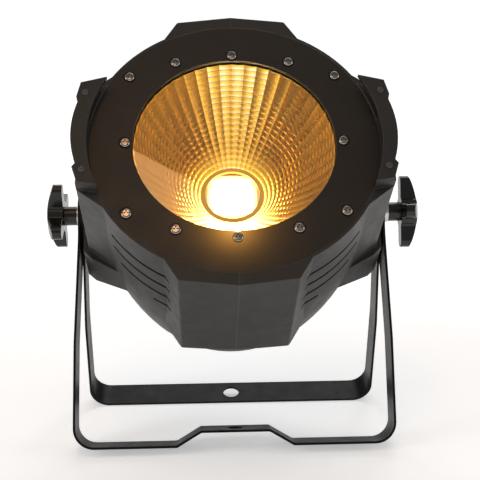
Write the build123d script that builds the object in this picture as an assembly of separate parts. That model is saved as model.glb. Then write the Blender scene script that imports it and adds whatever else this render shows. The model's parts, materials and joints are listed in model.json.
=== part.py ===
"""Par can light: a tilting COB head held by clamping knobs between two U brackets.

Millimetres, +Z up. The head is drawn in its own frame (X right, Y up the front face, Z out along
the optical axis, origin at the centre of the bezel face) and is then tilted about the pivot axis.
"""
import math
import os

from build123d import *

# ---------------------------------------------------------------- driving dimensions
# head, front
bezel_radius = 120.0
opening_radius = 84.0
bezel_thickness = 2.5
fit_gap = 0.4              # loose gap between a cover and the recess that it lies in
contact_gap = 0.1          # gap between neighbours that are screwed together
wall = 2.5
rim_width = 2.6
glass_thickness = 3.0
glass_overlap = 3.0        # bezel lip over the edge of the glass
gasket_thickness = 0.5
front_ring_depth = 13.0    # from the bezel face to the back of the screw ring

# head, shell
straight_depth = 75.0      # cylinder behind the bezel before the dome starts
dome_radius = 405.0
shell_depth = 224.0
tail_fillet = 7.0

# head, top and bottom pads
pad_half_width = 47.0
pad_corner_proud = 6.3     # how far the pad's outer corners stand above the bezel's radius
pad_peak_proud = 11.7      # the same for the pad's seam line
pad_root_x = 60.5          # where the chamfer runs into the rim
pad_root_sunk = 16.0
pad_depth = 136.0
pad_tail_radius = 14.0
pad_edge = 2.5             # rounding of the pad's long corners

# head, side pads and pivot bosses
side_face_proud = 8.0      # how far the side pads stand beyond the bezel's radius
side_low = -44.5
side_high = 48.0
side_root_sunk = 25.0
side_root_low = -70.0
side_root_high = 73.0
boss_proud = 12.7          # how far the bosses stand beyond the bezel's radius
boss_front = 102.0
boss_back = 147.0
boss_slant = 17.0          # how much shallower the boss is at the shell than at its face
boss_half_height = 46.0
boss_edge = 2.0            # rounding of the long corners of the bosses and side pads

# accessory ears
ear_top = 12.5
ear_plate = 3.4
ear_inner_gap = 0.6        # bezel to the ear's inner arc
ear_slot_floor = 0.5
ear_slot_low = 19.0
ear_slot_proud = 6.0       # outer end of the slot, beyond the bezel's radius

# reflector, light source
reflector_wall = 1.2
reflector_neck_radius = 28.5
reflector_bottom = 86.0
les_size = 34.0
cob_size = 44.0
cob_thickness = 1.6
holder_width = 5.0
holder_thickness = 3.5

# heat sink, fan, electronics
sink_radius = 74.0
sink_base = 7.0
fin_height = 42.0
fin_thickness = 2.2
fin_count = 15
fan_size = 92.0
fan_thickness = 25.0
fan_clearance = 1.5
fan_blades = 7
fan_hub_radius = 19.0
fan_shaft_radius = 1.5
running_gap = 0.05         # radial clearance of shafts and pins in their holes

# rear panel
panel_radius = 86.0
panel_thickness = 3.0
panel_screw_radius = 80.5
panel_screw_count = 8
grille_radius = 26.0
display_size = (42.0, 17.0)
display_height = 54.0
button_radius = 4.0
button_pitch = 15.0
button_height = 35.0
button_travel = 0.8
button_proud = 2.2
board_gap = 9.0            # rear panel to control board
power_place = (52.0, 0.0)
dmx_place = (34.0, -46.0)
flange_size = (26.0, 31.0)
socket_radius = 9.5
socket_depth = 12.0
fuse_radius = 6.5
eye_place = 70.0

# pivot and brackets
head_tilt = 43.0           # elevation of the optical axis
pivot_depth = 119.0        # bezel face to pivot axis
stud_radius = 4.0
washer_gap = 0.1
friction_washer = 2.6
friction_washer_radius = 14.0
bar_width = 30.0
bar_thickness = 2.2
bend_radius = 17.0
arm_above = 20.0
front_splay = 6.9          # how far each arm leans out between pivot and base
rear_splay = 4.7
front_knee = 0.72          # share of the splay reached half-way down an arm
rear_knee = 0.9
arm_gap = 0.25             # between the inner and the outer bracket's arms
arm_bow_radius = 200.0
front_length = 212.0
front_lean = 16.6
rear_lean = 15.7
bump_height = 13.0
bump_top = 31.0
bump_foot = 53.0
front_hole_radius = 7.0
rear_hole_radius = 8.0

# knobs
knob_washer = 1.6
right_spacer = 3.0         # extra washer under the right-hand knob
knob_washer_radius = 9.5
knob_stem = 11.8
knob_stem_radius = 8.7
knob_reach = 33.0
knob_lobe = 13.0
knob_thickness = 15.5
knob_tip_thickness = 8.0
knob_core_radius = 14.0
right_knob_turn = 28.5     # how far each cross has turned from the head's own axes
left_knob_turn = 63.0
nut_width = 13.0
nut_thickness = 6.5

# smaller pieces of the head
post_circle = 90.0
post_radius = 3.5
post_screw_radius = 2.0
pin_circle = 5.6
socket_body_depth = 20.0
fuse_height = -50.0
eye_ring = 9.0
eye_wire = 2.5
supply_width = 104.0
supply_bottom = 38.0
supply_top = 70.0
supply_depth = 32.0

# screws
bezel_screw_places = [
    (0.0, 89.6), (48.6, 82.15), (87.65, 67.1), (90.2, 0.0),
    (87.65, -67.1), (48.6, -82.15), (0.0, -89.6), (-48.6, -82.15),
    (-87.65, -67.1), (-90.2, 0.0), (-87.65, 67.1), (-48.6, 82.15),
]
ear_screw_places = [(bezel_radius + 3.0, 42.0), (bezel_radius + 2.8, -33.0)]

# ---------------------------------------------------------------- worked out from the above
tilt_turn = 90.0 - head_tilt
pad_corner = bezel_radius + pad_corner_proud
pad_peak = bezel_radius + pad_peak_proud
side_face = bezel_radius + side_face_proud
side_root = bezel_radius - side_root_sunk
boss_face = bezel_radius + boss_proud
ear_inner_radius = bezel_radius + ear_inner_gap
ear_slot_side = bezel_radius + ear_slot_proud
half_bar = bar_width / 2
pivot_height = (front_length * math.cos(math.radians(front_lean))
                + half_bar * math.sin(math.radians(front_lean)))
rear_length = ((pivot_height - half_bar * math.sin(math.radians(rear_lean)))
               / math.cos(math.radians(rear_lean)))
rim_radius = bezel_radius + rim_width
rear_arm_inside = boss_face + washer_gap + friction_washer + washer_gap
rear_arm_face = rear_arm_inside + bar_thickness
front_arm_face = rear_arm_face + arm_gap + bar_thickness
glass_radius = opening_radius + glass_overlap
glass_front = bezel_thickness + gasket_thickness
glass_back = glass_front + glass_thickness
sink_front = reflector_bottom + holder_thickness + cob_thickness
sink_back = sink_front + sink_base + fin_height
fan_front = sink_back + contact_gap
fan_back = fan_front + fan_thickness
knob_sag = knob_thickness - knob_tip_thickness
knob_dome_radius = (knob_reach ** 2 + knob_sag ** 2) / (2 * knob_sag)
board_front = shell_depth - board_gap


# ---------------------------------------------------------------- helpers
def mirrored(points):
    """The same outline on the other side of the YZ plane."""
    return [(-x, y) for x, y in points]


def prism(points, low, high):
    """A polygon in XY, extruded from z = low to z = high."""
    face = make_face(Polyline(*points, close=True))
    return Pos(0, 0, low) * extrude(face, high - low)


def soft_prism(points, low, high, edge, rounded):
    """A prism whose corners at the given places in the list are rounded by edge."""
    face = make_face(Polyline(*points, close=True))
    chosen = [face.vertices().sort_by_distance((*points[index], 0))[0] for index in rounded]
    return Pos(0, 0, low) * extrude(fillet(chosen, edge), high - low)


def disc(radius, low, high, place=(0.0, 0.0)):
    """A cylinder along Z from z = low to z = high."""
    return Pos(place[0], place[1], (low + high) / 2) * Cylinder(radius, high - low)


def ring(outer, inner, low, high, place=(0.0, 0.0)):
    """A tube along Z from z = low to z = high."""
    return disc(outer, low, high, place) - disc(inner, low - 1, high + 1, place)


def block(x_low, x_high, y_low, y_high, z_low, z_high):
    """A box given by its six faces."""
    centre = Pos((x_low + x_high) / 2, (y_low + y_high) / 2, (z_low + z_high) / 2)
    return centre * Box(x_high - x_low, y_high - y_low, z_high - z_low)


def rod(radius, x_low, x_high):
    """A cylinder along X on the pivot axis of the head frame."""
    return Pos((x_low + x_high) / 2, 0, -pivot_depth) * Rot(0, 90, 0) * Cylinder(radius, x_high - x_low)


def pan_screw(head_radius, head_height, shank_radius, length):
    """A cross-recessed pan head screw, its head's seat at z = 0 and its shank along -Z."""
    dome = Pos(0, 0, head_height / 2) * Cylinder(head_radius, head_height)
    dome = fillet(dome.edges().filter_by(GeomType.CIRCLE).sort_by(Axis.Z)[-1], head_height * 0.7)
    arm = head_radius * 1.1
    slot = head_radius * 0.28
    cross = Box(arm, slot, head_height) + Box(slot, arm, head_height)
    shank = Pos(0, 0, -length / 2) * Cylinder(shank_radius, length)
    return dome + shank - Pos(0, 0, head_height) * cross


def to_head(shape):
    """From the head's frame to the standing frame, before the base is centred."""
    return Pos(0, 0, pivot_height) * Rot(tilt_turn, 0, 0) * Pos(0, 0, pivot_depth) * shape


def to_bracket(shape, lean):
    """From a bracket's frame (X right, Y up the arms) to the standing frame; lean tips its base forward."""
    return Pos(0, 0, pivot_height) * Rot(90 - lean, 0, 0) * shape


def on_circle(radius, angle):
    """A point of the head's XY plane at an angle in degrees."""
    return (radius * math.cos(math.radians(angle)), radius * math.sin(math.radians(angle)))


def flange_screw_place(place, sign):
    """Place of one of a socket's two screws, at opposite corners of its flange."""
    return (place[0] + sign * (flange_size[0] / 2 - 3.5), place[1] + sign * (flange_size[1] / 2 - 3.5))


nodes = {}


def keep(name, shape):
    """Register a node, as one solid or as a group of solids."""
    nodes[name] = shape


# ---------------------------------------------------------------- housing
def shell_body(offset):
    """The round of the housing, a cylinder that curves in to its tail, pulled in by offset."""
    radius = rim_radius - offset
    curve = dome_radius - offset
    centre = rim_radius - dome_radius
    tail = centre + math.sqrt(curve ** 2 - (shell_depth - straight_depth) ** 2)
    middle_depth = (shell_depth - straight_depth) / 2
    middle = centre + math.sqrt(curve ** 2 - middle_depth ** 2)
    outline = [
        Line((0, 0), (radius, 0)),
        Line((radius, 0), (radius, -straight_depth)),
        ThreePointArc((radius, -straight_depth), (middle, -straight_depth - middle_depth),
                      (tail, -shell_depth)),
        Line((tail, -shell_depth), (0, -shell_depth)),
        Line((0, -shell_depth), (0, 0)),
    ]
    profile = Plane.XZ * make_face(outline)
    return revolve(profile, Axis.Z)


def pad_body(offset):
    """The faceted pad at the top of the housing, pulled in by offset."""
    half = pad_half_width - offset * 0.8
    corner = pad_corner - offset
    peak = pad_peak - offset
    root_x = pad_root_x - offset
    root_y = bezel_radius - pad_root_sunk
    face = [(-root_x, root_y), (-half, corner), (0, peak), (half, corner), (root_x, root_y), (0, 60)]
    front = soft_prism(face, -pad_depth + offset, 0, pad_edge, (1, 2, 3))
    side = Polyline((0, 40), (0, peak + 1), (-pad_depth + offset, peak + 1), (-pad_depth + offset, 40), close=True)
    side_face_2d = make_face(side)
    tail_corner = side_face_2d.vertices().sort_by(Axis.X)[:2].sort_by(Axis.Y)[-1]
    side_face_2d = fillet(tail_corner, pad_tail_radius)
    side_bar = Rot(0, -90, 0) * extrude(side_face_2d, pad_root_x + 5, both=True)
    return front & side_bar


def side_pad_section(offset):
    """Cross-section of the right-hand side pad, pulled in by offset."""
    return [
        (side_root - offset, side_root_low + offset),
        (side_face - offset, side_low + offset * 0.6),
        (side_face - offset, side_high - offset * 0.6),
        (side_root - offset, side_root_high - offset),
        (70, 0),
    ]


def boss_body(offset):
    """The block that carries the pivot on the right-hand side, pulled in by offset."""
    face = boss_face - offset
    half = boss_half_height - offset * 0.6
    section = [(90, -74 + offset), (face - 7.5, -half - 8), (face, -half), (face, half), (face - 7.5, half + 8),
               (90, 74 - offset)]
    front = -boss_front - offset
    back = -boss_back + offset
    plan = Polyline((60, front), (face + 1, front), (face + 1, back), (88, back + boss_slant), (60, back + boss_slant),
                    close=True)
    plan_bar = extrude(Plane.XZ * make_face(plan), 100, both=True)
    return soft_prism(section, back, front, boss_edge, (1, 2, 3, 4)) & plan_bar


def ear_body():
    """The accessory ear in front of the right-hand side pad, with its slot open at the top."""
    inside = bezel_radius - 16.0
    top_out, bottom_out = (bezel_radius + 7.0, 52.7), (bezel_radius + 6.5, side_low + 0.1)
    top_in, bottom_in = (inside, 58.7), (inside, -48.6)
    lip = [(bezel_radius + 10.2, 38.3), (bezel_radius + 8.9, 32.7), (bezel_radius + 13.4, 2.5),
           (bezel_radius + 8.5, -27.0), (bezel_radius + 11.0, -30.3)]
    outline = [
        Line(top_in, top_out),
        Line(top_out, lip[0]),
        Line(lip[0], lip[1]),
        ThreePointArc(lip[1], lip[2], lip[3]),
        Line(lip[3], lip[4]),
        Line(lip[4], bottom_out),
        Line(bottom_out, bottom_in),
        Line(bottom_in, top_in),
    ]
    plate = Pos(0, 0, ear_top - ear_plate) * extrude(make_face(outline), ear_plate)
    base = [top_in, top_out, (side_face, side_high), (side_face, side_low + 0.1), bottom_in]
    body = prism(base, -1.0, ear_top - ear_plate) + plate
    body -= disc(ear_inner_radius, -2, ear_top + 1)
    body -= block(90, ear_slot_side, ear_slot_low, 70, ear_slot_floor, ear_top - ear_plate)
    return body


def vent_cutters():
    """Rows of arched vent slots between a side pad and the bottom pad, in one quadrant."""
    rows = [(31.0, 34.0), (50.0, 34.0), (68.0, 38.0), (86.0, 55.0)]
    cutters = []
    for depth, start in rows:
        sweep = 64.0 - start
        sector = revolve(Plane.XZ * Pos(rim_radius - 1.0, -depth) * Rectangle(13.0, 4.0), Axis.Z, sweep)
        cutters.append(Rot(0, 0, start) * sector)
    return cutters


def housing_body():
    """Both halves of the housing in one piece."""
    side = soft_prism(side_pad_section(0), -boss_front - 1, 0, boss_edge, (1, 2))
    outer = shell_body(0) + pad_body(0) + mirror(pad_body(0), Plane.XZ)
    outer += side + mirror(side, Plane.YZ)
    outer += boss_body(0) + mirror(boss_body(0), Plane.YZ)
    tail = outer.edges().filter_by(GeomType.CIRCLE).sort_by(Axis.Z)[0]
    outer = fillet(tail, tail_fillet)

    side_hollow = soft_prism(side_pad_section(wall), -boss_front - wall, -front_ring_depth, boss_edge, (1, 2))
    boss_hollow = boss_body(wall)
    hollow = shell_body(wall) & block(-200, 200, -200, 200, -shell_depth + wall, -front_ring_depth)
    hollow += pad_body(wall) & block(-200, 200, 60, 200, -pad_depth, -front_ring_depth)
    hollow += mirror(pad_body(wall) & block(-200, 200, 60, 200, -pad_depth, -front_ring_depth), Plane.XZ)
    hollow += side_hollow + mirror(side_hollow, Plane.YZ)
    hollow += boss_hollow + mirror(boss_hollow, Plane.YZ)

    body = outer - hollow
    body -= disc(bezel_radius + fit_gap, -bezel_thickness, 1)
    body -= disc(glass_radius + fit_gap, -glass_back - reflector_wall, 0)
    body -= disc(opening_radius + reflector_wall + fit_gap, -front_ring_depth - 1, 0)
    body -= disc(panel_screw_radius - 6, -shell_depth - 1, -shell_depth + 2 * wall)
    for place in bezel_screw_places:
        body -= disc(2.0 + running_gap, -front_ring_depth + 1, 0, place)
    for index in range(panel_screw_count):
        body -= disc(1.5 + running_gap, -shell_depth - 1, -shell_depth + 2 * wall, panel_screw_place(index))

    body += ear_body() + mirror(ear_body(), Plane.YZ)
    for x, y in ear_screw_places:
        for sign in (1, -1):
            body -= disc(1.5 + running_gap, 1.0, ear_top + 1, (sign * x, y))
    for cutter in vent_cutters():
        for turned in (cutter, mirror(cutter, Plane.YZ)):
            body -= turned
            body -= mirror(turned, Plane.XZ)

    seat = rod(friction_washer_radius + 1, nut_inside() - 3, boss_face - 1)
    for sign in (1, -1):
        core = seat if sign > 0 else mirror(seat, Plane.YZ)
        bore = rod(stud_radius + running_gap, 60, 150)
        pocket = nut_shape(fit_gap, nut_inside() - 4, nut_inside() + nut_thickness)
        body += core
        body -= bore if sign > 0 else mirror(bore, Plane.YZ)
        body -= pocket if sign > 0 else mirror(pocket, Plane.YZ)
    return body


def panel_screw_place(index):
    """Place of a rear panel screw in the head frame."""
    angle = math.radians(360 / panel_screw_count * (index + 0.5))
    return (panel_screw_radius * math.cos(angle), panel_screw_radius * math.sin(angle))


def nut_inside():
    """X of the inner face of the pivot nut."""
    return boss_face - 18.0


def nut_shape(gap, x_low, x_high):
    """A hexagon along X on the pivot axis."""
    hexagon = RegularPolygon((nut_width / 2 + gap) / math.cos(math.radians(30)), 6)
    return Pos(x_low, 0, -pivot_depth) * Rot(0, 90, 0) * extrude(hexagon, x_high - x_low)


housing = housing_body()
keep("housing_left", housing & block(-200, 0, -200, 200, -300, 50))
keep("housing_right", housing & block(0, 200, -200, 200, -300, 50))

# ---------------------------------------------------------------- front: bezel, glass, reflector
bezel = ring(bezel_radius, opening_radius, -bezel_thickness, 0)
for place in bezel_screw_places:
    bezel -= disc(6.0, -1.0, 1, place)
    bezel -= disc(2.2, -bezel_thickness - 1, 1, place)
bezel = chamfer(bezel.edges().filter_by(GeomType.CIRCLE).sort_by(SortBy.RADIUS)[-1], 0.5)
keep("bezel_ring", bezel)
keep("bezel_screws", Compound(children=[
    Pos(x, y, -1.0) * pan_screw(4.4, 2.6, 2.0, front_ring_depth - 3) for x, y in bezel_screw_places]))
keep("glass_gasket", ring(glass_radius, opening_radius, -glass_front, -bezel_thickness))
keep("cover_glass", disc(glass_radius, -glass_back, -glass_front))


def reflector_curve(offset):
    """Profile points of the reflector bowl, from its rim to its neck."""
    rim = opening_radius + offset
    neck = reflector_neck_radius + offset
    middle = (rim + neck) / 2 + 5.5
    top = -glass_back
    return ThreePointArc((rim, top), (middle, (top - reflector_bottom) / 2), (neck, -reflector_bottom))


reflector_outline = [
    reflector_curve(0),
    Line(reflector_curve(0) @ 1, reflector_curve(reflector_wall) @ 1),
    reflector_curve(reflector_wall),
    Line(reflector_curve(0) @ 0, reflector_curve(reflector_wall) @ 0),
]
reflector = revolve(Plane.XZ * make_face(reflector_outline), Axis.Z)
reflector += ring(glass_radius, opening_radius, -glass_back - reflector_wall, -glass_back)
keep("reflector", reflector)

# ---------------------------------------------------------------- light source
holder_low = -reflector_bottom - holder_thickness
holder = ring(reflector_neck_radius + holder_width, les_size * 0.72, holder_low, -reflector_bottom)
keep("cob_holder", holder)
board_low = holder_low - cob_thickness
keep("cob_board", block(-cob_size / 2, cob_size / 2, -cob_size / 2, cob_size / 2, board_low, holder_low))
half_les = les_size / 2
keep("cob_emitter", block(-half_les, half_les, -half_les, half_les, holder_low, holder_low + 1.0))

# ---------------------------------------------------------------- heat sink and its posts
post_places = [
    (post_circle * math.cos(math.radians(angle)), post_circle * math.sin(math.radians(angle)))
    for angle in (45, 135, 225, 315)
]
sink_low = -sink_front - sink_base
sink = disc(sink_radius, sink_low, -sink_front)
for angle in (45, 135, 225, 315):
    lug = block(sink_radius - 20, post_circle + post_radius + 3, -8, 8, sink_low, -sink_front)
    sink += Rot(0, 0, angle) * lug
fin_pitch = 2 * (sink_radius - 8) / (fin_count - 1)
for index in range(fin_count):
    x = -(sink_radius - 8) + index * fin_pitch
    half_fin = fin_thickness / 2
    reach = math.sqrt(sink_radius ** 2 - (abs(x) + half_fin) ** 2) - 0.5
    sink += block(x - half_fin, x + half_fin, -reach, reach, -sink_back, sink_low + 0.5)
for place in post_places:
    sink -= disc(post_screw_radius + running_gap, sink_low - 1, 0, place)
keep("heat_sink", sink)
post_bottom = -sink_front
keep("sink_posts", Compound(children=[
    disc(post_radius, post_bottom, -front_ring_depth, place)
    - disc(post_screw_radius + running_gap, post_bottom - 1, post_bottom + 12, place)
    for place in post_places]))
keep("sink_screws", Compound(children=[
    Pos(x, y, sink_low) * Rot(180, 0, 0) * pan_screw(3.5, 2.2, post_screw_radius, sink_base + 9)
    for x, y in post_places]))

# ---------------------------------------------------------------- fan
half_fan = fan_size / 2
fan_bore = half_fan - 2.0
fan_hole = half_fan - 5.0
corners = [(sx * fan_hole, sy * fan_hole) for sx in (1, -1) for sy in (1, -1)]
frame = block(-half_fan, half_fan, -half_fan, half_fan, -fan_back, -fan_front)
frame = fillet(frame.edges().filter_by(Axis.Z), 4)
frame -= disc(fan_bore, -fan_back - 1, -fan_front + 1)
motor_low = -fan_back
motor_high = -fan_back + 5.0
frame += disc(fan_hub_radius, motor_low, motor_high)
for angle in (20, 110, 200, 290):
    frame += Rot(0, 0, angle) * block(fan_hub_radius - 2, fan_bore + 1, -2.5, 2.5, motor_low, motor_low + 4)
for place in corners:
    frame -= disc(2.2, -fan_back - 1, 0, place)
frame += disc(4.0, motor_low, motor_high + 8)
frame -= disc(fan_shaft_radius + running_gap, motor_low + 1.5, 0)
keep("fan_frame", frame)
hub_low = motor_high + fan_clearance
hub_high = -fan_front - fan_clearance
rotor = disc(fan_hub_radius, hub_low, hub_high) - disc(fan_hub_radius - 2, hub_low - 1, hub_high - 2)
rotor += disc(fan_shaft_radius, motor_low + 2.0, hub_high)
blade_reach = fan_bore - fan_clearance
for index in range(fan_blades):
    blade = block(fan_hub_radius - 0.8, blade_reach, -0.9, 0.9, -9.5, 9.5)
    blade = Pos(0, 0, (hub_low + hub_high) / 2) * Rot(38, 0, 0) * blade
    rotor += Rot(0, 0, 360 / fan_blades * index) * blade
rotor = rotor & disc(blade_reach, hub_low - 20, hub_high)
keep("fan_rotor", rotor)
keep("fan_screws", Compound(children=[
    Pos(x, y, -fan_back) * Rot(180, 0, 0) * pan_screw(3.6, 2.2, 2.0, fan_thickness + 5) for x, y in corners]))

# ---------------------------------------------------------------- rear panel
panel_high = -shell_depth - contact_gap
panel_low = panel_high - panel_thickness
half_display = (display_size[0] / 2, display_size[1] / 2)
button_places = [((index - 1.5) * button_pitch, button_height) for index in range(4)]
sockets = {
    "power_inlet": (-power_place[0], power_place[1]),
    "power_outlet": power_place,
    "dmx_inlet": (-dmx_place[0], dmx_place[1]),
    "dmx_outlet": dmx_place,
}
panel = disc(panel_radius, panel_low, panel_high)
panel = chamfer(panel.edges().filter_by(GeomType.CIRCLE).sort_by(Axis.Z)[0], 1.0)
panel -= disc(grille_radius, panel_low - 1, 0)
panel -= block(-half_display[0], half_display[0], display_height - half_display[1],
               display_height + half_display[1], panel_low - 1, 0)
for place in button_places:
    panel -= disc(button_radius + 0.15, panel_low - 1, 0, place)
for place in sockets.values():
    panel -= disc(socket_radius + 3.2, panel_low - 1, 0, place)
    for sign in (1, -1):
        panel -= disc(1.5 + running_gap, panel_low - 1, 0, flange_screw_place(place, sign))
panel -= disc(fuse_radius - 0.8, panel_low - 1, 0, (0, fuse_height))
panel -= disc(2.5 + running_gap, panel_low - 1, 0, (0, eye_place))
panel_screws = [panel_screw_place(index) for index in range(panel_screw_count)]
for place in panel_screws:
    panel -= disc(1.8, panel_low - 1, 0, place)
keep("rear_panel", panel)
keep("rear_panel_screws", Compound(children=[
    Pos(x, y, panel_low) * Rot(180, 0, 0) * pan_screw(3.0, 2.0, 1.5, panel_thickness + 3) for x, y in panel_screws]))

guard_low = panel_low - 1.6
guard_radius = grille_radius + 3
guard = ring(guard_radius, grille_radius - 1, guard_low, panel_low)
for radius in (5.0, 10.5, 15.5, 20.5):
    guard += ring(radius + 0.8, radius - 0.8, guard_low, panel_low)
guard += disc(4.5, guard_low, panel_low)
for angle in (0, 60, 120):
    guard += Rot(0, 0, angle) * block(-grille_radius, grille_radius, -1.0, 1.0, guard_low, panel_low)
keep("fan_guard", guard)

window = block(-half_display[0] + 0.1, half_display[0] - 0.1, display_height - half_display[1] + 0.1,
               display_height + half_display[1] - 0.1, panel_low - 0.6, panel_high)
keep("display_window", window)
board = block(-34, 34, button_height - 9, display_height + half_display[1] + 2, -board_front - 1.6, -board_front)
module_half = half_display[0] - 1
module = block(-module_half, module_half, display_height - half_display[1] + 1,
               display_height + half_display[1] - 1, panel_high, -board_front - 1.6)
keep("display_module", module)
keep("control_board", board)
standoff_places = [(sx * 30.0, y) for sx in (1, -1) for y in (button_height - 5, display_height + half_display[1] - 2)]
keep("board_standoffs", Compound(children=[
    disc(2.5, panel_high, -board_front - 1.6, place) for place in standoff_places]))
switch_low = -board_front - 1.6 - 3.5
keep("button_switches", Compound(children=[
    block(x - 3, x + 3, y - 3, y + 3, switch_low, -board_front - 1.6) for x, y in button_places]))
for index, name in enumerate(["menu", "down", "up", "enter"]):
    place = button_places[index]
    cap = disc(button_radius, panel_low - button_proud, switch_low - button_travel - 0.2, place)
    cap = fillet(cap.edges().filter_by(GeomType.CIRCLE).sort_by(Axis.Z)[0], 0.8)
    keep("button_" + name, cap)

# ---------------------------------------------------------------- sockets, fuse and safety eye
half_flange = (flange_size[0] / 2, flange_size[1] / 2)


def socket_body(name):
    """A chassis socket; its mouth opens at the back of the panel."""
    mouth = panel_low - 2.0
    flange = block(-half_flange[0], half_flange[0], -half_flange[1], half_flange[1], mouth, panel_low)
    flange = fillet(flange.edges().filter_by(Axis.Z), 2.5)
    body = flange + disc(socket_radius + 3.0, panel_low, panel_high + socket_body_depth)
    for sign in (1, -1):
        body -= disc(1.5 + running_gap, mouth - 1, panel_low + 0.5, flange_screw_place((0, 0), sign))
    floor = mouth + socket_depth
    if name == "dmx_outlet":
        body -= ring(socket_radius, socket_radius - 1.6, mouth - 1, floor)
        for angle in (90, 210, 330):
            body -= disc(1.4, mouth - 1, floor, on_circle(pin_circle, angle))
        return body
    body -= disc(socket_radius, mouth - 1, floor)
    if name == "dmx_inlet":
        for angle in (90, 210, 330):
            body += disc(1.1, mouth + 2, floor + 0.5, on_circle(pin_circle, angle))
        return body
    for angle in (0, 90, 180):
        blade = block(pin_circle + 0.5, pin_circle + 1.9, -2.2, 2.2, mouth + 3, floor + 0.5)
        body += Rot(0, 0, angle) * blade
    return body


for name, (x, y) in sockets.items():
    keep(name, Pos(x, y, 0) * socket_body(name))
keep("socket_screws", Compound(children=[
    Pos(*flange_screw_place(place, sign), panel_low - 2.0) * Rot(180, 0, 0) * pan_screw(2.8, 1.8, 1.5, 8)
    for place in sockets.values() for sign in (1, -1)]))

fuse = disc(fuse_radius + 1.5, panel_low - 2, panel_low) + disc(fuse_radius, panel_low - 8, panel_low)
fuse += disc(fuse_radius - 1.0, panel_low, panel_high + 22)
fuse -= block(-fuse_radius - 1, fuse_radius + 1, -0.7, 0.7, panel_low - 9, panel_low - 6.8)
keep("fuse_holder", Pos(0, fuse_height, 0) * fuse)

eye_centre = panel_low - 2.0 - eye_wire - eye_ring
eye = Pos(0, 0, eye_centre) * Rot(90, 0, 0) * Torus(eye_ring, eye_wire)
eye += disc(5.5, panel_low - 3.0, panel_low)
eye += disc(2.5, panel_low, panel_high + 9)
keep("safety_eye", Pos(0, eye_place, 0) * eye)
eye_nut = extrude(RegularPolygon(4.6, 6), 4) - disc(2.5 + running_gap, -1, 5)
keep("safety_eye_nut", Pos(0, eye_place, panel_high) * eye_nut)

# ---------------------------------------------------------------- power supply
supply_high = -fan_back - 8.0
supply_low = supply_high - supply_depth
side_x = supply_width / 2 + 1.0
bracket = block(-side_x - 1.5, side_x + 1.5, supply_bottom, supply_top, supply_high + 1, supply_high + 2.5)
for sign in (1, -1):
    cheek_low, cheek_high = sorted((sign * side_x, sign * (side_x + 1.5)))
    bracket += block(cheek_low, cheek_high, supply_bottom, supply_top, supply_low, supply_high + 2.5)
    bracket += block(cheek_low, cheek_high, supply_bottom, supply_bottom + 10, panel_high, supply_low + 1)
    flap_low, flap_high = sorted((sign * (side_x - 10), sign * side_x))
    bracket += block(flap_low, flap_high, supply_bottom, supply_bottom + 10, panel_high, panel_high + 1.5)
keep("supply_bracket", bracket)
supply = block(-supply_width / 2, supply_width / 2, supply_bottom, supply_top, supply_high - 1.6, supply_high)
supply += block(-14, 14, supply_bottom + 2, supply_top - 4, supply_low, supply_high - 1.0)
supply += block(-44, -26, supply_bottom + 4, supply_top - 12, supply_low + 6, supply_high - 1.0)
supply += disc(9, supply_low + 4, supply_high - 1.0, (36, (supply_bottom + supply_top) / 2))
keep("power_supply", supply)

# ---------------------------------------------------------------- screws of the ears, nuts of the pivot
keep("ear_screws", Compound(children=[
    Pos(sign * x, y, ear_top) * pan_screw(2.8, 1.2, 1.5, 9.0)
    for x, y in ear_screw_places for sign in (1, -1)]))


def both_sides(shape):
    """A right-hand piece and its twin on the left."""
    return Compound(children=[shape, mirror(shape, Plane.YZ)])


nut = nut_shape(0, nut_inside(), nut_inside() + nut_thickness) - rod(stud_radius + running_gap, 100, 150)
keep("pivot_nuts", both_sides(nut))
washer_in = boss_face + washer_gap
washer = rod(friction_washer_radius, washer_in, washer_in + friction_washer)
washer -= rod(stud_radius + running_gap, 100, 150)
keep("friction_washers", both_sides(washer))

# ---------------------------------------------------------------- knobs
knob_in = front_arm_face + washer_gap


def knob_grip(turn, grip_in):
    """A cross-shaped clamping knob on the right-hand side, lobes turned about its axis."""
    bar = SlotOverall(2 * knob_reach, knob_lobe)
    outline = Circle(knob_core_radius) + bar + Rot(0, 0, 90) * bar
    inner_corners = outline.vertices().filter_by(lambda v: math.hypot(v.X, v.Y) < knob_core_radius + 1)
    outline = fillet(inner_corners, 3.0)
    grip = extrude(outline, knob_thickness)
    grip = grip & Pos(0, 0, knob_thickness - knob_dome_radius) * Sphere(knob_dome_radius)
    grip = Rot(0, 0, turn) * grip
    grip += disc(knob_stem_radius, -knob_stem, 1)
    grip -= disc(stud_radius, -knob_stem - 1, knob_thickness - 5)
    return Pos(grip_in, 0, -pivot_depth) * Rot(0, 90, 0) * grip


knob_settings = {
    "right": (right_knob_turn, knob_washer + right_spacer),
    "left": (left_knob_turn, knob_washer),
}
for side, (turn, washer_thickness) in knob_settings.items():
    stem_in = knob_in + washer_thickness
    grip_in = stem_in + knob_stem
    grip = knob_grip(turn, grip_in)
    stud = rod(stud_radius, nut_inside() - 2, grip_in + knob_thickness - 5)
    plate = rod(knob_washer_radius, knob_in, stem_in) - rod(stud_radius + running_gap, 100, 160)
    for name, shape in (("knob", grip), ("knob_stud", stud), ("knob_washer", plate)):
        keep(name + "_" + side, shape if side == "right" else mirror(shape, Plane.YZ))

# ---------------------------------------------------------------- brackets
def bar_outline(length, arm_face, splay, knee, bump):
    """Right-hand half of a bracket's outer line, from the arm's top to the middle of its base."""
    middle_y = -(arm_above + length) / 2
    points = [(arm_face, arm_above), (arm_face, -arm_above), (arm_face + knee * splay, middle_y),
              (arm_face + splay, -length)]
    radii = [arm_bow_radius, arm_bow_radius, bend_radius + bar_thickness]
    if bump:
        points += [(bump_foot, -length), (bump_top, -length + bump_height)]
        radii += [4.0, 4.0 + bar_thickness]
    return points, radii


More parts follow.
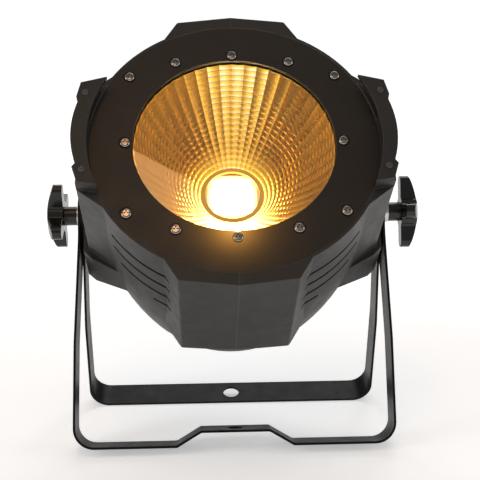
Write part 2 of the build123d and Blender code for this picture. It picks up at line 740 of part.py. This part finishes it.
def offset_inward(points):
    """Shift a line of points to its inner side by the bar's thickness, with mitred corners."""
    moved = []
    for index, (x, y) in enumerate(points):
        normals = []
        for a, b in ((index - 1, index), (index, index + 1)):
            if 0 <= a and b < len(points):
                dx, dy = points[b][0] - points[a][0], points[b][1] - points[a][1]
                size = math.hypot(dx, dy)
                normals.append((dy / size, -dx / size))
        nx = sum(n[0] for n in normals)
        ny = sum(n[1] for n in normals)
        scale = bar_thickness * len(normals) / (nx * nx + ny * ny)
        if len(normals) == 1:
            scale = bar_thickness
        moved.append((x + nx * scale, y + ny * scale))
    return moved


def bracket_body(length, arm_face, splay, knee, hole_radius, bump):
    """A U of flat bar in its own frame: X right, Y up the arms, Z across the bar; pivot at the origin."""
    right, radii = bar_outline(length, arm_face, splay, knee, bump)
    outer = right + mirrored(right)[::-1]
    inner = offset_inward(outer)
    inner_radii = [radii[0] + bar_thickness, radii[1] - bar_thickness, radii[2] - bar_thickness]
    if bump:
        inner_radii += [radii[3] + bar_thickness, radii[4] - bar_thickness]
    outer_line = FilletPolyline(*outer, radius=radii + radii[::-1])
    inner_line = FilletPolyline(*inner, radius=inner_radii + inner_radii[::-1])
    ends = [Line(outer_line @ 0, inner_line @ 0), Line(outer_line @ 1, inner_line @ 1)]
    body = extrude(make_face([outer_line, inner_line] + ends), half_bar, both=True)
    reach = arm_face + splay + 5
    rounded = Pos(0, arm_above - half_bar) * Circle(half_bar)
    rounded += Pos(0, (arm_above - half_bar - length - 5) / 2) * Rectangle(bar_width, arm_above - half_bar + length + 5)
    body = body & (Plane.ZY * extrude(rounded, reach, both=True))
    hole_y = -length + (bump_height if bump else 0)
    pivot_bore = Rot(0, 90, 0) * Cylinder(stud_radius + running_gap, 2 * reach)
    base_bore = Pos(0, hole_y, 0) * Rot(90, 0, 0) * Cylinder(hole_radius, 4 * bar_thickness)
    return body - pivot_bore - base_bore


head_nodes = list(nodes)
front_bracket = bracket_body(front_length, front_arm_face, front_splay, front_knee, front_hole_radius, True)
rear_bracket = bracket_body(rear_length, rear_arm_face, rear_splay, rear_knee, rear_hole_radius, False)
keep("bracket_front", to_bracket(front_bracket, front_lean))
keep("bracket_rear", to_bracket(rear_bracket, -rear_lean))

# ---------------------------------------------------------------- stand the light up and write it
for name in head_nodes:
    nodes[name] = to_head(nodes[name])
boxes = [shape.bounding_box() for shape in nodes.values()]
centre_y = (min(box.min.Y for box in boxes) + max(box.max.Y for box in boxes)) / 2
os.makedirs("parts", exist_ok=True)
for name, shape in nodes.items():
    placed = Pos(0, -centre_y, 0) * shape
    export_step(placed, os.path.join("parts", name + ".step"))
print("pivot", 0, round(-centre_y, 4), round(pivot_height, 4), "rear bracket length", round(rear_length, 3))
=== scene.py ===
"""Looks of the par can light: materials, lit reflector, studio and camera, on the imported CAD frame."""
import json
import math

import bmesh
import bpy
from mathutils import Matrix, Vector


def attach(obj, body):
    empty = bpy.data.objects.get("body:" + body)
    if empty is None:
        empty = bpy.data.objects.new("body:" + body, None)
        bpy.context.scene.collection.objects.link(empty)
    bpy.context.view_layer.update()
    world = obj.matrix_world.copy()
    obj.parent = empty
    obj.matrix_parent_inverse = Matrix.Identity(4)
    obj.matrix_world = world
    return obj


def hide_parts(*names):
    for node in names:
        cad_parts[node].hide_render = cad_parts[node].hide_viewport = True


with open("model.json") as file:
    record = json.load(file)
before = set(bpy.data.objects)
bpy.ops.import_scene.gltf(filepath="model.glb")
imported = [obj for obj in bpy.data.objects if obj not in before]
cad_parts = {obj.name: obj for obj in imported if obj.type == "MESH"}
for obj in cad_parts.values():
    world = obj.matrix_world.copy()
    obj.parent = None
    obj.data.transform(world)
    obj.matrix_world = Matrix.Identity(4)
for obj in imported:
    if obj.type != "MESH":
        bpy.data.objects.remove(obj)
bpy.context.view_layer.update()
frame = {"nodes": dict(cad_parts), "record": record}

MM = 0.001
NODES = frame["nodes"]
JOINTS = {joint["name"]: joint for joint in frame["record"]["behaviour"]["joints"]}

# ---------------------------------------------------------------- the head's own frame
PIVOT = Vector(JOINTS["head_tilt"]["pos_m"])
OPTICAL_AXIS = Vector(JOINTS["fan_spin"]["axis"])
FACE_UP = OPTICAL_AXIS.cross(Vector((1, 0, 0)))
BEZEL_PLANE = max(v.co @ OPTICAL_AXIS for v in NODES["bezel_ring"].data.vertices)
FACE_CENTRE = PIVOT + OPTICAL_AXIS * (BEZEL_PLANE - PIVOT @ OPTICAL_AXIS)
FACE_CENTRE.x = 0.0
HEAD = Matrix.Translation(FACE_CENTRE) @ Matrix((
    (1, FACE_UP.x, OPTICAL_AXIS.x),
    (0, FACE_UP.y, OPTICAL_AXIS.y),
    (0, FACE_UP.z, OPTICAL_AXIS.z),
)).to_4x4()


def in_head(point):
    """A point of the row frame in the head's frame: x right, y up the bezel, z out along the beam."""
    return HEAD.inverted() @ Vector(point)


def head_box(node):
    """(lowest, highest) corner of a CAD node in the head's frame."""
    points = [in_head(v.co) for v in NODES[node].data.vertices]
    low = Vector([min(p[i] for p in points) for i in range(3)])
    high = Vector([max(p[i] for p in points) for i in range(3)])
    return low, high


# ---------------------------------------------------------------- camera, floor and light
CAMERA_OFFSET = Vector((-30.2, -913.9, 211.4)) * MM      # from the pivot
CAMERA_YAW = math.radians(2.37)
CAMERA_DOWN = math.radians(14.5)
CAMERA_ROLL = math.radians(-0.26)
LENS = 75.9

camera_data = bpy.data.cameras.new("camera")
camera = bpy.data.objects.new("camera", camera_data)
bpy.context.collection.objects.link(camera)
camera_data.lens = LENS
camera_data.sensor_width = 36.0
camera_data.clip_start = 0.01
camera.location = PIVOT + CAMERA_OFFSET
camera.rotation_euler = (Matrix.Rotation(-CAMERA_YAW, 3, "Z")
                         @ Matrix.Rotation(math.pi / 2 - CAMERA_DOWN, 3, "X")
                         @ Matrix.Rotation(CAMERA_ROLL, 3, "Z")).to_euler()
bpy.context.scene.camera = camera


def socket_values(node, **values):
    """Sets input sockets by their names, written with underscores."""
    for key, value in values.items():
        node.inputs[key.replace("_", " ")].default_value = value
    return node


def new_material(name):
    """A new node material, its tree and its shader."""
    material = bpy.data.materials.new(name)
    material.use_nodes = True
    tree = material.node_tree
    shader = tree.nodes["Principled BSDF"]
    return material, tree, shader


def add_object(name, mesh):
    """Links a new object for a mesh."""
    piece = bpy.data.objects.new(name, mesh)
    bpy.context.collection.objects.link(piece)
    return piece


FLOOR_REACH = 60.0                       # metres from the middle to each side
FLOOR_GLOW_NEAR = (0.35, 0.42)           # distance in metres, and the strength there
FLOOR_GLOW_FAR = (2.2, 0.76)
FILL_STRENGTH = 0.30
BACKDROP_STRENGTH = 1.0


def build_floor():
    """A pale floor that runs out to the horizon, glowing more where the lamps no longer reach."""
    mesh = bpy.data.meshes.new("floor")
    corners = [(-FLOOR_REACH, -FLOOR_REACH, 0), (FLOOR_REACH, -FLOOR_REACH, 0),
               (FLOOR_REACH, FLOOR_REACH, 0), (-FLOOR_REACH, FLOOR_REACH, 0)]
    mesh.from_pydata(corners, [], [(0, 1, 2, 3)])
    floor = add_object("floor", mesh)
    material, tree, shader = new_material("floor_paper")
    socket_values(shader, Base_Color=(0.93, 0.93, 0.93, 1), Roughness=0.95, Emission_Color=(1, 1, 1, 1),
                  Specular_IOR_Level=0.1)
    away = tree.nodes.new("ShaderNodeVectorMath")
    away.operation = "LENGTH"
    tree.links.new(texture_place(tree), away.inputs[0])
    glow = tree.nodes.new("ShaderNodeMapRange")
    socket_values(glow, From_Min=FLOOR_GLOW_NEAR[0], From_Max=FLOOR_GLOW_FAR[0],
                  To_Min=FLOOR_GLOW_NEAR[1], To_Max=FLOOR_GLOW_FAR[1])
    tree.links.new(away.outputs["Value"], glow.inputs["Value"])
    tree.links.new(glow.outputs["Result"], shader.inputs["Emission Strength"])
    mesh.materials.append(material)


def build_world():
    """White surroundings behind the object, and a dim even fill on it."""
    world = bpy.data.worlds.new("studio")
    bpy.context.scene.world = world
    world.use_nodes = True
    tree = world.node_tree
    fill = tree.nodes["Background"]
    fill.inputs["Color"].default_value = (1.0, 0.98, 0.96, 1)
    fill.inputs["Strength"].default_value = FILL_STRENGTH
    backdrop = tree.nodes.new("ShaderNodeBackground")
    backdrop.inputs["Color"].default_value = (1, 1, 1, 1)
    backdrop.inputs["Strength"].default_value = BACKDROP_STRENGTH
    path = tree.nodes.new("ShaderNodeLightPath")
    mix = tree.nodes.new("ShaderNodeMixShader")
    tree.links.new(path.outputs["Is Camera Ray"], mix.inputs["Fac"])
    tree.links.new(fill.outputs[0], mix.inputs[1])
    tree.links.new(backdrop.outputs[0], mix.inputs[2])
    tree.links.new(mix.outputs[0], tree.nodes["World Output"].inputs["Surface"])


def area_light(name, place, target, size, power, colour=(1, 1, 1)):
    """A rectangular soft light that faces a target."""
    data = bpy.data.lights.new(name, "AREA")
    data.shape = "RECTANGLE"
    data.size, data.size_y = size
    data.energy = power
    data.color = colour
    lamp = bpy.data.objects.new(name, data)
    bpy.context.collection.objects.link(lamp)
    lamp.location = place
    lamp.rotation_euler = (Vector(target) - Vector(place)).to_track_quat("-Z", "Y").to_euler()
    return lamp


def overhead_softbox():
    """A warm panel overhead on the left, placed so that the cover glass mirrors its corner to the camera."""
    glass_front = head_box("cover_glass")[1].z
    reach = 1.5                                                         # metres beyond the glass
    on_glass = [(-35, -35), (-125, 21), (-125, -260), (-19, -260)]      # mirrored corners, mm on the glass
    eye = in_head(camera.location)
    eye.z = 2 * glass_front - eye.z
    corners = []
    for x, y in on_glass:
        spot = Vector((x * MM, y * MM, glass_front))
        corners.append(HEAD @ (spot + (spot - eye).normalized() * reach))
    mesh = bpy.data.meshes.new("softbox")
    mesh.from_pydata(corners, [], [(0, 1, 2, 3)])
    panel = add_object("softbox", mesh)
    material, _, shader = new_material("softbox_cloth")
    socket_values(shader, Base_Color=(0.1, 0.1, 0.1, 1), Emission_Color=(1.0, 0.56, 0.26, 1),
                  Emission_Strength=4.2)
    mesh.materials.append(material)
    panel.visible_camera = False
    panel.visible_shadow = False


def build_lights():
    """A softbox on each side, one behind and above, and the warm panel overhead."""
    middle = PIVOT
    area_light("light_left", (-1.7, -0.7, 0.9), middle, (0.8, 1.2), 9)
    area_light("light_right", (1.8, -0.3, 0.7), middle, (0.6, 1.2), 6)
    area_light("light_back", (0.2, 1.5, 1.9), middle, (1.6, 0.8), 14)
    overhead_softbox()


# ---------------------------------------------------------------- materials
def texture_place(tree):
    """Object coordinates, which stay with the piece."""
    return tree.nodes.new("ShaderNodeTexCoord").outputs["Object"]


def noise(tree, scale, detail=2.0, roughness=0.5, stretch=None):
    """A noise texture's factor in object space; stretch scales the axes unevenly."""
    place = texture_place(tree)
    if stretch:
        mapping = tree.nodes.new("ShaderNodeMapping")
        mapping.inputs["Scale"].default_value = stretch
        tree.links.new(place, mapping.inputs["Vector"])
        place = mapping.outputs["Vector"]
    node = tree.nodes.new("ShaderNodeTexNoise")
    socket_values(node, Scale=scale, Detail=detail, Roughness=roughness)
    tree.links.new(place, node.inputs["Vector"])
    return node.outputs["Fac"]


def spread(tree, factor, low, high):
    """Maps a factor round its middle to a range."""
    node = tree.nodes.new("ShaderNodeMapRange")
    socket_values(node, From_Min=0.3, From_Max=0.7, To_Min=low, To_Max=high)
    tree.links.new(factor, node.inputs["Value"])
    return node.outputs["Result"]


def colour_mix(tree, factor, first, second):
    """Blends two colours by a factor."""
    node = tree.nodes.new("ShaderNodeMix")
    node.data_type = "RGBA"
    for socket, value in ((node.inputs[6], first), (node.inputs[7], second)):
        if isinstance(value, bpy.types.NodeSocket):
            tree.links.new(value, socket)
        else:
            socket.default_value = (*value, 1)
    tree.links.new(factor, node.inputs[0])
    return node.outputs[2]


def scaled(colour, amount):
    """A colour made lighter or darker."""
    return tuple(min(1.0, channel * amount) for channel in colour)


def edge_mask(tree, radius):
    """About 1 on outside edges within radius, from how far a bevelled normal turns away."""
    bevel = tree.nodes.new("ShaderNodeBevel")
    bevel.samples = 4
    bevel.inputs["Radius"].default_value = radius
    geometry = tree.nodes.new("ShaderNodeNewGeometry")
    dot = tree.nodes.new("ShaderNodeVectorMath")
    dot.operation = "DOT_PRODUCT"
    tree.links.new(bevel.outputs["Normal"], dot.inputs[0])
    tree.links.new(geometry.outputs["Normal"], dot.inputs[1])
    mask = tree.nodes.new("ShaderNodeMapRange")
    socket_values(mask, From_Min=0.995, From_Max=0.80, To_Min=0.0, To_Max=1.0)
    tree.links.new(dot.outputs["Value"], mask.inputs["Value"])
    return mask.outputs["Result"]


def coated(name, colour, rough, grain=900.0, grain_depth=0.00012, metal=0.0, mottle=0.12, edge_highlight=None,
           round_edge=0.0, **sockets):
    """Moulded plastic or powder coat: fine grain, slow colour drift, uneven gloss; outside edges can carry a
    painted highlight, a lighter colour where light would catch them.
    """
    material, tree, shader = new_material(name)
    drift = noise(tree, 28.0, 3.0)
    base = colour_mix(tree, spread(tree, drift, 0, 1), scaled(colour, 1 - mottle), scaled(colour, 1 + mottle))
    if edge_highlight:
        # painted highlight: outside edges take a lighter colour, standing in for light catching the rounded
        # edges
        base = colour_mix(tree, edge_mask(tree, 0.0011), base, edge_highlight)
    tree.links.new(base, shader.inputs["Base Color"])
    gloss = spread(tree, noise(tree, 75.0, 4.0, 0.6), rough * 0.88, rough * 1.12)
    tree.links.new(gloss, shader.inputs["Roughness"])
    shader.inputs["Metallic"].default_value = metal
    bump = tree.nodes.new("ShaderNodeBump")
    socket_values(bump, Strength=0.5, Distance=grain_depth)
    tree.links.new(noise(tree, grain, 2.0), bump.inputs["Height"])
    if round_edge:
        bevel = tree.nodes.new("ShaderNodeBevel")
        bevel.samples = 6
        bevel.inputs["Radius"].default_value = round_edge
        tree.links.new(bevel.outputs["Normal"], bump.inputs["Normal"])
    tree.links.new(bump.outputs["Normal"], shader.inputs["Normal"])
    socket_values(shader, **sockets)
    return material


MATERIALS = {}


def make_materials():
    """One material for each of the record's slots."""
    # The lighter edge colours given below are painted highlights along outside edges.
    MATERIALS.update(
        housing_plastic=coated("housing_plastic", (0.022, 0.0205, 0.019), 0.45, 1300, 0.00010,
                               edge_highlight=(0.075, 0.07, 0.065), round_edge=0.0012, Specular_IOR_Level=0.30),
        bezel_paint=bezel_material(),
        screw_chrome=coated("screw_chrome", (0.30, 0.27, 0.24), 0.16, 500, 0.00003, metal=1.0, mottle=0.08),
        black_rubber=coated("black_rubber", (0.02, 0.02, 0.02), 0.75, 1200, 0.0002),
        bare_aluminium=coated("bare_aluminium", (0.75, 0.76, 0.77), 0.34, 1100, 0.00005, metal=1.0),
        screw_steel=coated("screw_steel", (0.55, 0.55, 0.54), 0.30, 800, 0.00004, metal=1.0),
        screw_black=coated("screw_black", (0.035, 0.034, 0.033), 0.38, 900, 0.00005, edge_highlight=(0.12, 0.12, 0.12)),
        fan_plastic=coated("fan_plastic", (0.02, 0.02, 0.022), 0.5),
        panel_paint=coated("panel_paint", (0.022, 0.022, 0.023), 0.45, 1500, 0.0001,
                           edge_highlight=(0.06, 0.06, 0.06), round_edge=0.0006),
        guard_steel=coated("guard_steel", (0.03, 0.03, 0.03), 0.35, 1500, 0.0001, edge_highlight=(0.08, 0.08, 0.08)),
        display_window=coated("display_window", (0.03, 0.008, 0.008), 0.07, 400, 0.00001, Coat_Weight=0.6),
        display_module=coated("display_module", (0.08, 0.08, 0.08), 0.5),
        circuit_board=coated("circuit_board", (0.02, 0.13, 0.05), 0.4, 600, 0.0001, mottle=0.35),
        brass=coated("brass", (0.78, 0.58, 0.26), 0.28, 500, 0.00004, metal=1.0),
        switch_plastic=coated("switch_plastic", (0.05, 0.05, 0.05), 0.5),
        button_plastic=coated("button_plastic", (0.03, 0.03, 0.03), 0.28, round_edge=0.0005),
        power_in_plastic=coated("power_in_plastic", (0.02, 0.09, 0.40), 0.35),
        power_out_plastic=coated("power_out_plastic", (0.45, 0.46, 0.47), 0.35),
        socket_metal=coated("socket_metal", (0.04, 0.04, 0.042), 0.35, metal=0.3),
        fuse_plastic=coated("fuse_plastic", (0.03, 0.03, 0.03), 0.3, round_edge=0.0005),
        zinc_steel=coated("zinc_steel", (0.62, 0.63, 0.64), 0.36, 300, 0.00004, metal=1.0, mottle=0.2),
        knob_plastic=coated("knob_plastic", (0.008, 0.008, 0.0085), 0.22, 700, 0.00004, round_edge=0.0012,
                            Specular_IOR_Level=0.45),
        bracket_paint=coated("bracket_paint", (0.004, 0.004, 0.004), 0.40, 1400, 0.00012,
                             edge_highlight=(0.03, 0.03, 0.03), round_edge=0.0005, Specular_IOR_Level=0.12),
    )
    MATERIALS["clear_glass"] = glass_material()
    MATERIALS["reflector_metal"] = reflector_material()
    MATERIALS["phosphor"] = emitter_material()
    # painted light: board and holder glow stands in for scattered lamp light, and the holder's dark gold base
    # colour is painted lamp light
    MATERIALS["ceramic_board"] = lit_material("ceramic_board", (0.85, 0.78, 0.60), (1.0, 0.66, 0.20),
                                              1.0, 5.0)
    MATERIALS["holder_plastic"] = lit_material("holder_plastic", (0.50, 0.30, 0.08), (1.0, 0.50, 0.08),
                                               0.30, 0.0)


def bezel_material():
    """Satin black paint whose brown tint is painted warm lamp light, with a painted highlight on its edges;
    painted glow beside the lower edge of the glass stands in for the lamp's glare spilling over it.
    """
    # painted light: the brown tint of this base colour stands in for the lamp's warm light
    material = coated("bezel_paint", (0.012, 0.0095, 0.007), 0.42, 1500, 0.00008, edge_highlight=(0.05, 0.045, 0.04),
                      round_edge=0.0006, Specular_IOR_Level=0.34)
    tree = material.node_tree
    shader = tree.nodes["Principled BSDF"]
    # painted glow: emission near the lower edge of the glass stands in for the lamp's glare
    glare = weighted(tree, [
        (near(tree, (-3, -80, 0), 3, 60, 5.0), 0.9),
        (near(tree, (-3, -70, 0), 10, 75, 2.0), 0.10),
    ])
    glow = colour_mix(tree, glare, (0.0, 0.0, 0.0), (0.95, 0.42, 0.06))
    tree.links.new(glow, shader.inputs["Emission Color"])
    shader.inputs["Emission Strength"].default_value = 1.0
    return material


def glass_material():
    """Clear flat glass with faint smears in its gloss."""
    material, tree, shader = new_material("clear_glass")
    socket_values(shader, Base_Color=(0.99, 1.0, 0.99, 1), IOR=1.45)
    shader.inputs["Transmission Weight"].default_value = 1.0
    smear = spread(tree, noise(tree, 40.0, 5.0, 0.7), 0.0, 0.03)
    tree.links.new(smear, shader.inputs["Roughness"])
    return material


def lobe(tree, direction, sharpness):
    """How nearly the surface faces a direction of the head's frame, raised to a power."""
    aim = (HEAD.to_3x3() @ Vector(direction)).normalized()
    dot = tree.nodes.new("ShaderNodeVectorMath")
    dot.operation = "DOT_PRODUCT"
    dot.inputs[1].default_value = aim
    tree.links.new(tree.nodes.new("ShaderNodeTexCoord").outputs["Normal"], dot.inputs[0])
    front = tree.nodes.new("ShaderNodeMath")
    front.operation = "MAXIMUM"
    front.inputs[1].default_value = 0.0
    tree.links.new(dot.outputs["Value"], front.inputs[0])
    power = tree.nodes.new("ShaderNodeMath")
    power.operation = "POWER"
    power.inputs[1].default_value = sharpness
    tree.links.new(front.outputs[0], power.inputs[0])
    return power.outputs[0]


def near(tree, spot, inner, outer, sharpness):
    """1 within inner of a spot of the head's frame, fading to 0 at outer (millimetres)."""
    offset = tree.nodes.new("ShaderNodeVectorMath")
    offset.operation = "DISTANCE"
    offset.inputs[1].default_value = HEAD @ (Vector(spot) * MM)
    tree.links.new(texture_place(tree), offset.inputs[0])
    fade = tree.nodes.new("ShaderNodeMapRange")
    socket_values(fade, From_Min=inner * MM, From_Max=outer * MM, To_Min=1.0, To_Max=0.0)
    tree.links.new(offset.outputs["Value"], fade.inputs["Value"])
    power = tree.nodes.new("ShaderNodeMath")
    power.operation = "POWER"
    power.inputs[1].default_value = sharpness
    tree.links.new(fade.outputs["Result"], power.inputs[0])
    return power.outputs[0]


def weighted(tree, terms):
    """The sum of factors, each times its weight."""
    total = None
    for factor, weight in terms:
        node = tree.nodes.new("ShaderNodeMath")
        node.operation = "MULTIPLY_ADD"
        node.inputs[1].default_value = weight
        node.inputs[2].default_value = 0.0
        tree.links.new(factor, node.inputs[0])
        if total is not None:
            tree.links.new(total, node.inputs[2])
        total = node.outputs[0]
    return total


def reflector_material():
    """Rolled aluminium whose gold base colour is painted amber lamp light; painted glow and highlights on
    facets turned to the lamp, and near it, stand in for its light carried up the wall.
    """
    material, tree, shader = new_material("reflector_metal")
    drift = spread(tree, noise(tree, 60.0, 3.0), 0, 1)
    # painted light: the gold base colour stands in for the amber lamp light on bare aluminium
    tone = colour_mix(tree, drift, (0.66, 0.41, 0.075), (0.76, 0.49, 0.11))
    tree.links.new(tone, shader.inputs["Base Color"])
    shader.inputs["Metallic"].default_value = 1.0
    gloss = spread(tree, noise(tree, 260.0, 4.0, 0.6), 0.10, 0.17)
    tree.links.new(gloss, shader.inputs["Roughness"])
    # painted highlight and glow: emission on facets facing set directions and near the lamp stands in for its
    # reflected light
    lit = weighted(tree, [
        (lobe(tree, (-0.03, -0.94, 0.30), 24.0), 1.50),
        (lobe(tree, (-0.10, -0.975, 0.16), 60.0), 1.6),
        (near(tree, (-3, -76, -8), 2, 62, 2.2), 2.6),
        (near(tree, (0, 0, -88), 26, 52, 2.0), 0.9),
    ])
    ramp = tree.nodes.new("ShaderNodeValToRGB")
    ramp.color_ramp.elements[0].color = (0.0, 0.0, 0.0, 1)
    ramp.color_ramp.elements[1].color = (1.0, 0.92, 0.62, 1)
    middle = ramp.color_ramp.elements.new(0.42)
    middle.color = (0.74, 0.44, 0.06, 1)
    half = tree.nodes.new("ShaderNodeMath")
    half.operation = "MULTIPLY"
    half.inputs[1].default_value = 0.5
    tree.links.new(lit, half.inputs[0])
    tree.links.new(half.outputs[0], ramp.inputs["Fac"])
    tree.links.new(ramp.outputs["Color"], shader.inputs["Emission Color"])
    shader.inputs["Emission Strength"].default_value = 1.0
    return material


def emitter_material():
    """The lit phosphor square."""
    material, tree, shader = new_material("phosphor")
    grain = spread(tree, noise(tree, 900.0, 2.0), 0, 1)
    tone = colour_mix(tree, grain, (0.95, 0.70, 0.22), (1.0, 0.78, 0.30))
    tree.links.new(tone, shader.inputs["Base Color"])
    glow = colour_mix(tree, grain, (1.0, 0.74, 0.36), (1.0, 0.80, 0.42))
    tree.links.new(glow, shader.inputs["Emission Color"])
    shader.inputs["Emission Strength"].default_value = 24.0
    return material


def lit_material(name, colour, glow, strength, glare):
    """A pale surface beside the light source, with painted glow standing in for the light it scatters, more
    so close to it.
    """
    material = coated(name, colour, 0.4, 900, 0.00005)
    tree = material.node_tree
    shader = tree.nodes["Principled BSDF"]
    grain = spread(tree, noise(tree, 300.0, 3.0), 0.85, 1.0)
    # painted glow: emission stands in for scattered lamp light, stronger near the light source
    amount = weighted(tree, [(grain, strength), (near(tree, (0, 0, -89), 17, 26, 1.5), glare)])
    tone = tree.nodes.new("ShaderNodeVectorMath")
    tone.operation = "SCALE"
    tone.inputs[0].default_value = glow
    tree.links.new(amount, tone.inputs["Scale"])
    tree.links.new(tone.outputs[0], shader.inputs["Emission Color"])
    shader.inputs["Emission Strength"].default_value = 1.0
    return material


# ---------------------------------------------------------------- mesh helpers
def finish_piece(name, bm, material, body, node=None, place=None):
    """Makes an object of a bmesh and body, and lets it stand for a CAD node."""
    bmesh.ops.recalc_face_normals(bm, faces=bm.faces)
    mesh = bpy.data.meshes.new(name)
    bm.to_mesh(mesh)
    bm.free()
    if place is not None:
        mesh.transform(place)
    mesh.materials.append(MATERIALS[material])
    piece = add_object(name, mesh)
    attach(piece, body)
    if node:
        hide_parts(node)
    return piece


def assign_cad_materials():
    """Gives each CAD node the material of its slot."""
    for part in frame["record"]["subparts"]:
        node = NODES[part["node"]]
        node.data.materials.clear()
        node.data.materials.append(MATERIALS[part["material_slot"]])


# ---------------------------------------------------------------- reflector
FLUTES = 48
STEPS = 19
FLUTE_CUTS = 8
STEP_PHASES = (0.0, 0.3, 0.62, 0.94)      # shares of a step's length at which a row of points lies
FLUTE_SLOPE = 0.50                        # flute depth as a share of half its width
STEP_RISE = 0.85 * MM
SHEET = 1.2 * MM
REFLECTOR_RIM = 84.0 * MM                 # radius at the glass
REFLECTOR_NECK = 28.5 * MM                # radius at the light source
REFLECTOR_BULGE = 5.5 * MM                # how far the middle of the wall lies outside a straight cone
BACK_ROWS = 8


def circle_through(a, b, c):
    """Centre and radius of the circle through three points of a plane."""
    d = 2 * (a.x * (b.y - c.y) + b.x * (c.y - a.y) + c.x * (a.y - b.y))
    aa, bb, cc = a.length_squared, b.length_squared, c.length_squared
    x = (aa * (b.y - c.y) + bb * (c.y - a.y) + cc * (a.y - b.y)) / d
    y = (aa * (c.x - b.x) + bb * (a.x - c.x) + cc * (b.x - a.x)) / d
    centre = Vector((x, y))
    return centre, (a - centre).length


def ring_of_points(bm, radius, height, count):
    """Points on a circle round the optical axis."""
    ring = []
    for j in range(count):
        turn = 2 * math.pi * j / count
        ring.append(bm.verts.new((radius * math.cos(turn), radius * math.sin(turn), height)))
    return ring


def bridge_rings(bm, upper, lower, smooth=True):
    """A band of quads between two rings of the same count."""
    count = len(upper)
    for j in range(count):
        k = (j + 1) % count
        bm.faces.new((upper[j], upper[k], lower[k], lower[j])).smooth = smooth


def build_reflector():
    """A bowl of stepped, pillowed facets in columns, with a flange under the glass."""
    low, high = head_box("reflector")
    top = head_box("cover_glass")[0].z
    bottom = low.z
    rim = REFLECTOR_RIM
    neck = REFLECTOR_NECK
    middle = Vector(((rim + neck) / 2 + REFLECTOR_BULGE, (top + bottom) / 2))
    centre, radius = circle_through(Vector((rim, top)), middle, Vector((neck, bottom)))
    start = math.atan2(top - centre.y, rim - centre.x)
    end = math.atan2(bottom - centre.y, neck - centre.x)
    if end > start:
        end -= 2 * math.pi
    columns = FLUTES * FLUTE_CUTS
    shares = [(step + phase) / STEPS for step in range(STEPS) for phase in STEP_PHASES] + [1.0]
    rises = [STEP_RISE * (0.55 * (1 - phase) + math.sin(math.pi * phase) * 0.5) for _ in range(STEPS)
             for phase in STEP_PHASES]
    rises.append(0.0)
    bm = bmesh.new()
    grid = []
    for share, rise in zip(shares, rises):
        angle = start + (end - start) * share
        outward = Vector((math.cos(angle), math.sin(angle)))
        on_arc = centre + outward * radius
        width = 2 * math.pi * on_arc.x / FLUTES
        ring = []
        for j in range(columns):
            turn = 2 * math.pi * j / columns
            across = 2 * (j % FLUTE_CUTS) / FLUTE_CUTS - 1
            swell = FLUTE_SLOPE * width * 0.25 * (1 - across * across)
            point = on_arc - outward * (rise * (0.6 + 0.4 * share) + swell * 0.5)
            ring.append(bm.verts.new((point.x * math.cos(turn), point.x * math.sin(turn), min(point.y, top))))
        grid.append(ring)
    for upper, lower in zip(grid, grid[1:]):
        bridge_rings(bm, upper, lower)
    for i, ring in enumerate(grid):
        sharp_row = i % len(STEP_PHASES) in (0, len(STEP_PHASES) - 1)
        for j in range(columns):
            if sharp_row:
                bm.edges.get((ring[j], ring[(j + 1) % columns])).smooth = False
            if j % FLUTE_CUTS == 0 and i + 1 < len(grid):
                bm.edges.get((ring[j], grid[i + 1][j])).smooth = False
    flange = [ring_of_points(bm, r, z, columns)
              for r, z in ((high.x, top), (high.x, top - SHEET), (rim + SHEET, top - SHEET))]
    back = []
    for i in range(1, BACK_ROWS + 1):
        angle = start + (end - start) * i / BACK_ROWS
        back_radius = centre.x + (radius + SHEET) * math.cos(angle)
        back_height = max(centre.y + (radius + SHEET) * math.sin(angle), bottom)
        back.append(ring_of_points(bm, back_radius, back_height, columns))
    chain = [grid[0]] + flange + back + [grid[-1]]
    for upper, lower in zip(chain, chain[1:]):
        bridge_rings(bm, upper, lower)
    for ring in flange[:2]:
        for j in range(columns):
            bm.edges.get((ring[j], ring[(j + 1) % columns])).smooth = False
    return finish_piece("reflector_bowl", bm, "reflector_metal", "head", "reflector", HEAD)


build_floor()
build_world()
build_lights()
make_materials()
assign_cad_materials()
build_reflector()

bpy.context.scene.view_settings.view_transform = "Standard"
